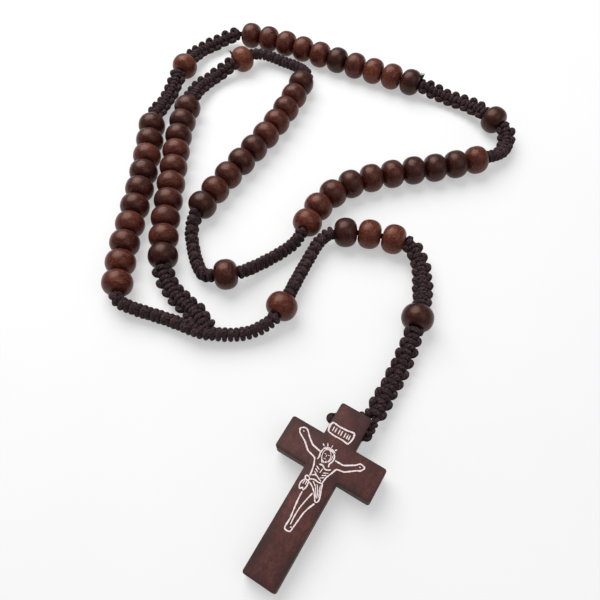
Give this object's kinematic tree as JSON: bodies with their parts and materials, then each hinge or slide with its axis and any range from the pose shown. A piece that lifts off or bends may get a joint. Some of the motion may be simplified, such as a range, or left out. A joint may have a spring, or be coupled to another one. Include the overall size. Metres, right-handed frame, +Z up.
{
  "type": "rosary",
  "caption": "Closed loop of knotted cord and wooden beads with a beaded tail ending in a plain flat wooden cross, laid out flat; used for counting prayers.",
  "frame": {"origin": "middle of the layout's bounding box, on the surface it lies on", "axes": "+X across the layout to the right, +Y up the layout away from the cross's foot, +Z up from the surface"},
  "size_m": [0.115, 0.1739, 0.008],
  "materials": {
    "bead": "satin dark-stained wood beads, dark purple-brown to reddish brown",
    "cord": "matte dark brown twisted cord tied in flat square knots",
    "cross": "matte reddish-brown wood with a printed white line figure"
  },
  "bodies": {
    "cord": {"branch_knot": "cord", "left_branch_knots": "cord", "right_branch_knots": "cord", "decade_1_cord": "cord", "decade_4_cord": "cord", "decade_5_cord": "cord"},
    "right_bight": {"decade_2_cord": "cord", "decade_3_cord": "cord"},
    "corner_1": {"corner_1_knots_a": "cord", "corner_1_knots_b": "cord"},
    "corner_2": {"corner_2_knots_a": "cord", "corner_2_knots_b": "cord"},
    "corner_3": {"corner_3_knots_a": "cord", "corner_3_knots_b": "cord"},
    "corner_4": {"corner_4_knots_a": "cord", "corner_4_knots_b": "cord"},
    "decade_1_beads_1": {"decade_1_beads_1": "bead"},
    "decade_1_beads_2": {"decade_1_beads_2": "bead"},
    "decade_1_beads_3": {"decade_1_beads_3": "bead"},
    "decade_1_beads_4": {"decade_1_beads_4": "bead"},
    "decade_1_beads_5": {"decade_1_beads_5": "bead"},
    "decade_2_beads_1": {"decade_2_beads_1": "bead"},
    "decade_2_beads_2": {"decade_2_beads_2": "bead"},
    "decade_2_beads_3": {"decade_2_beads_3": "bead"},
    "decade_2_beads_4": {"decade_2_beads_4": "bead"},
    "decade_2_beads_5": {"decade_2_beads_5": "bead"},
    "decade_3_beads_1": {"decade_3_beads_1": "bead"},
    "decade_3_beads_2": {"decade_3_beads_2": "bead"},
    "decade_3_beads_3": {"decade_3_beads_3": "bead"},
    "decade_3_bead_7": {"decade_3_bead_7": "bead"},
    "decade_3_bead_8": {"decade_3_bead_8": "bead"},
    "decade_3_bead_9": {"decade_3_bead_9": "bead"},
    "decade_3_bead_10": {"decade_3_bead_10": "bead"},
    "decade_4_beads_1": {"decade_4_beads_1": "bead"},
    "decade_4_beads_2": {"decade_4_beads_2": "bead"},
    "decade_4_beads_3": {"decade_4_beads_3": "bead"},
    "decade_4_beads_4": {"decade_4_beads_4": "bead"},
    "decade_4_beads_5": {"decade_4_beads_5": "bead"},
    "decade_5_beads_1": {"decade_5_beads_1": "bead"},
    "decade_5_beads_2": {"decade_5_beads_2": "bead"},
    "decade_5_beads_3": {"decade_5_beads_3": "bead"},
    "decade_5_beads_4": {"decade_5_beads_4": "bead"},
    "decade_5_beads_5": {"decade_5_beads_5": "bead"},
    "corner_1_bead": {"corner_1_bead": "bead"},
    "corner_2_bead": {"corner_2_bead": "bead"},
    "corner_3_bead": {"corner_3_bead": "bead"},
    "corner_4_bead": {"corner_4_bead": "bead"},
    "tail_1": {"tail_knots_1": "cord"},
    "tail_2": {"tail_knots_2": "cord"},
    "tail_3": {"tail_knots_3": "cord"},
    "tail_4": {"tail_knots_4": "cord", "cord_loop": "cord"},
    "cross": {"cross": "cross"},
    "tail_bead_1": {"tail_bead_1": "bead"},
    "tail_bead_2": {"tail_bead_2": "bead"},
    "tail_bead_3": {"tail_bead_3": "bead"},
    "tail_bead_4": {"tail_bead_4": "bead"},
    "tail_bead_5": {"tail_bead_5": "bead"}
  },
  "joints": [
    {"name": "right_bight_lift", "type": "hinge", "parent": "cord", "child": "right_bight", "pos_m": [-0.0159, 0.04195, 0.004], "axis": [0.2226, -0.9749, 0], "range_deg": [0, 25], "deforming": ["corner_1_knots_b", "corner_3_knots_a"]},
    {"name": "corner_1_lift", "type": "hinge", "parent": "cord", "child": "corner_1", "pos_m": [-0.0384, 0.06375, 0.004], "axis": [0.5373, 0.8434, 0], "range_deg": [0, 60], "deforming": ["corner_1_knots_a", "corner_1_knots_b"]},
    {"name": "corner_2_lift", "type": "hinge", "parent": "right_bight", "child": "corner_2", "pos_m": [0.03925, 0.04125, 0.004], "axis": [0.4415, -0.8973, 0], "range_deg": [0, 60], "deforming": ["corner_2_knots_a", "corner_2_knots_b"]},
    {"name": "corner_3_lift", "type": "hinge", "parent": "cord", "child": "corner_3", "pos_m": [-0.0208, 0.00325, 0.004], "axis": [-0.9743, 0.2251, 0], "range_deg": [0, 60], "deforming": ["corner_3_knots_a", "corner_3_knots_b"]},
    {"name": "corner_4_lift", "type": "hinge", "parent": "cord", "child": "corner_4", "pos_m": [-0.0228, 0.05625, 0.004], "axis": [0.961, 0.2765, 0], "range_deg": [0, 60], "deforming": ["corner_4_knots_a", "corner_4_knots_b"]},
    {"name": "tail_1_lift", "type": "hinge", "parent": "cord", "child": "tail_1", "pos_m": [-0.024, -0.0303, 0.0024], "axis": [0, -1, 0], "range_deg": [0, 35], "deforming": ["tail_knots_1"]},
    {"name": "tail_2_lift", "type": "hinge", "parent": "tail_1", "child": "tail_2", "pos_m": [-0.0065, -0.0112, 0.0024], "axis": [-0.1961, -0.9806, 0], "range_deg": [0, 40], "deforming": ["tail_knots_2"]},
    {"name": "tail_3_lift", "type": "hinge", "parent": "tail_2", "child": "tail_3", "pos_m": [0.024, -0.015, 0.0024], "axis": [-1, 0, 0], "range_deg": [0, 40], "deforming": ["tail_knots_3"]},
    {"name": "tail_4_swing", "type": "hinge", "parent": "tail_3", "child": "tail_4", "pos_m": [0.0167, -0.0382, 0.0027], "axis": [0, 0, 1], "range_deg": [-25, 35], "deforming": ["tail_knots_4"]},
    {"name": "cross_swing", "type": "hinge", "parent": "tail_4", "child": "cross", "pos_m": [0.00283, -0.05486, 0.00407], "axis": [-0.848, 0.5299, 0], "range_deg": [0, 25], "deforming": ["cord_loop"]},
    {"name": "corner_1_bead_spin", "type": "hinge", "parent": "corner_1", "child": "corner_1_bead", "pos_m": [-0.04375, 0.0675, 0.004], "axis": [0.3846, 0.9231, 0], "continuous": true},
    {"name": "corner_2_bead_spin", "type": "hinge", "parent": "corner_2", "child": "corner_2_bead", "pos_m": [0.052, 0.041, 0.004], "axis": [0.6247, -0.7809, 0], "continuous": true},
    {"name": "corner_3_bead_spin", "type": "hinge", "parent": "corner_3", "child": "corner_3_bead", "pos_m": [-0.0261, -0.01365, 0.004], "axis": [-0.9937, -0.1122, 0], "continuous": true},
    {"name": "corner_4_bead_spin", "type": "hinge", "parent": "corner_4", "child": "corner_4_bead", "pos_m": [-0.0252, 0.0707, 0.004], "axis": [-0.7682, -0.6402, 0], "continuous": true},
    {"name": "tail_bead_1_spin", "type": "hinge", "parent": "tail_1", "child": "tail_bead_1", "pos_m": [-0.01175, -0.02325, 0.004], "axis": [0.4535, 0.8913, 0], "continuous": true},
    {"name": "tail_bead_2_spin", "type": "hinge", "parent": "tail_2", "child": "tail_bead_2", "pos_m": [0.0051, -0.0008, 0.004], "axis": [0.9995, -0.0312, 0], "continuous": true},
    {"name": "tail_bead_3_spin", "type": "hinge", "parent": "tail_2", "child": "tail_bead_3", "pos_m": [0.01145, -0.0015, 0.004], "axis": [0.9823, -0.1871, 0], "continuous": true},
    {"name": "tail_bead_4_spin", "type": "hinge", "parent": "tail_2", "child": "tail_bead_4", "pos_m": [0.0177, -0.0032, 0.004], "axis": [0.9424, -0.3344, 0], "continuous": true},
    {"name": "tail_bead_5_spin", "type": "hinge", "parent": "tail_3", "child": "tail_bead_5", "pos_m": [0.02135, -0.027, 0.004], "axis": [-0.3303, -0.9439, 0], "continuous": true},
    {"name": "decade_1_beads_1_spin", "type": "hinge", "parent": "cord", "child": "decade_1_beads_1", "pos_m": [-0.05348, -0.01274, 0.004], "axis": [-0.0128, 0.9999, 0], "continuous": true},
    {"name": "decade_1_beads_2_spin", "type": "hinge", "parent": "cord", "child": "decade_1_beads_2", "pos_m": [-0.05303, -0.00025, 0.004], "axis": [0.0854, 0.9963, 0], "continuous": true},
    {"name": "decade_1_beads_3_spin", "type": "hinge", "parent": "cord", "child": "decade_1_beads_3", "pos_m": [-0.05203, 0.01223, 0.004], "axis": [0.0741, 0.9972, 0], "continuous": true},
    {"name": "decade_1_beads_4_spin", "type": "hinge", "parent": "cord", "child": "decade_1_beads_4", "pos_m": [-0.05135, 0.02473, 0.004], "axis": [0.0345, 0.9994, 0], "continuous": true},
    {"name": "decade_1_beads_5_spin", "type": "hinge", "parent": "cord", "child": "decade_1_beads_5", "pos_m": [-0.05122, 0.03724, 0.004], "axis": [-0.0134, 0.9999, 0], "continuous": true},
    {"name": "decade_2_beads_1_spin", "type": "hinge", "parent": "right_bight", "child": "decade_2_beads_1", "pos_m": [-0.01953, 0.08195, 0.004], "axis": [0.946, -0.3243, 0], "continuous": true},
    {"name": "decade_2_beads_2_spin", "type": "hinge", "parent": "right_bight", "child": "decade_2_beads_2", "pos_m": [-0.00798, 0.07694, 0.004], "axis": [0.8829, -0.4695, 0], "continuous": true},
    {"name": "decade_2_beads_3_spin", "type": "hinge", "parent": "right_bight", "child": "decade_2_beads_3", "pos_m": [0.00318, 0.07102, 0.004], "axis": [0.8842, -0.4671, 0], "continuous": true},
    {"name": "decade_2_beads_4_spin", "type": "hinge", "parent": "right_bight", "child": "decade_2_beads_4", "pos_m": [0.01448, 0.06537, 0.004], "axis": [0.9039, -0.4277, 0], "continuous": true},
    {"name": "decade_2_beads_5_spin", "type": "hinge", "parent": "right_bight", "child": "decade_2_beads_5", "pos_m": [0.02585, 0.05983, 0.004], "axis": [0.894, -0.4481, 0], "continuous": true},
    {"name": "decade_3_beads_1_spin", "type": "hinge", "parent": "right_bight", "child": "decade_3_beads_1", "pos_m": [0.04094, 0.02393, 0.004], "axis": [-0.9682, -0.2503, 0], "continuous": true},
    {"name": "decade_3_beads_2_spin", "type": "hinge", "parent": "right_bight", "child": "decade_3_beads_2", "pos_m": [0.02868, 0.02142, 0.004], "axis": [-0.9887, -0.1501, 0], "continuous": true},
    {"name": "decade_3_beads_3_spin", "type": "hinge", "parent": "right_bight", "child": "decade_3_beads_3", "pos_m": [0.01639, 0.019, 0.004], "axis": [-0.9717, -0.2364, 0], "continuous": true},
    {"name": "decade_3_bead_7_spin", "type": "hinge", "parent": "right_bight", "child": "decade_3_bead_7", "pos_m": [0.00749, 0.01615, 0.004], "axis": [-0.8987, -0.4386, 0], "continuous": true},
    {"name": "decade_3_bead_8_spin", "type": "hinge", "parent": "right_bight", "child": "decade_3_bead_8", "pos_m": [0.00229, 0.01275, 0.004], "axis": [-0.7626, -0.6469, 0], "continuous": true},
    {"name": "decade_3_bead_9_spin", "type": "hinge", "parent": "right_bight", "child": "decade_3_bead_9", "pos_m": [-0.00189, 0.00816, 0.004], "axis": [-0.5716, -0.8205, 0], "continuous": true},
    {"name": "decade_3_bead_10_spin", "type": "hinge", "parent": "right_bight", "child": "decade_3_bead_10", "pos_m": [-0.00499, 0.00275, 0.004], "axis": [-0.4189, -0.908, 0], "continuous": true},
    {"name": "decade_4_beads_1_spin", "type": "hinge", "parent": "cord", "child": "decade_4_beads_1", "pos_m": [-0.03212, 0.01202, 0.004], "axis": [0.5053, 0.8629, 0], "continuous": true},
    {"name": "decade_4_beads_2_spin", "type": "hinge", "parent": "cord", "child": "decade_4_beads_2", "pos_m": [-0.02542, 0.02266, 0.004], "axis": [0.5603, 0.8283, 0], "continuous": true},
    {"name": "decade_4_beads_3_spin", "type": "hinge", "parent": "cord", "child": "decade_4_beads_3", "pos_m": [-0.01849, 0.03315, 0.004], "axis": [0.543, 0.8397, 0], "continuous": true},
    {"name": "decade_4_beads_4_spin", "type": "hinge", "parent": "cord", "child": "decade_4_beads_4", "pos_m": [-0.01227, 0.04406, 0.004], "axis": [0.4451, 0.8955, 0], "continuous": true},
    {"name": "decade_4_beads_5_spin", "type": "hinge", "parent": "cord", "child": "decade_4_beads_5", "pos_m": [-0.00719, 0.05554, 0.004], "axis": [0.3638, 0.9315, 0], "continuous": true},
    {"name": "decade_5_beads_1_spin", "type": "hinge", "parent": "cord", "child": "decade_5_beads_1", "pos_m": [-0.0417, 0.04497, 0.004], "axis": [-0.1607, -0.987, 0], "continuous": true},
    {"name": "decade_5_beads_2_spin", "type": "hinge", "parent": "cord", "child": "decade_5_beads_2", "pos_m": [-0.04285, 0.03263, 0.004], "axis": [-0.0245, -0.9997, 0], "continuous": true},
    {"name": "decade_5_beads_3_spin", "type": "hinge", "parent": "cord", "child": "decade_5_beads_3", "pos_m": [-0.04311, 0.02021, 0.004], "axis": [-0.0181, -0.9998, 0], "continuous": true},
    {"name": "decade_5_beads_4_spin", "type": "hinge", "parent": "cord", "child": "decade_5_beads_4", "pos_m": [-0.04336, 0.00779, 0.004], "axis": [-0.0212, -0.9998, 0], "continuous": true},
    {"name": "decade_5_beads_5_spin", "type": "hinge", "parent": "cord", "child": "decade_5_beads_5", "pos_m": [-0.04299, -0.00461, 0.004], "axis": [0.0796, -0.9968, 0], "continuous": true}
  ]
}
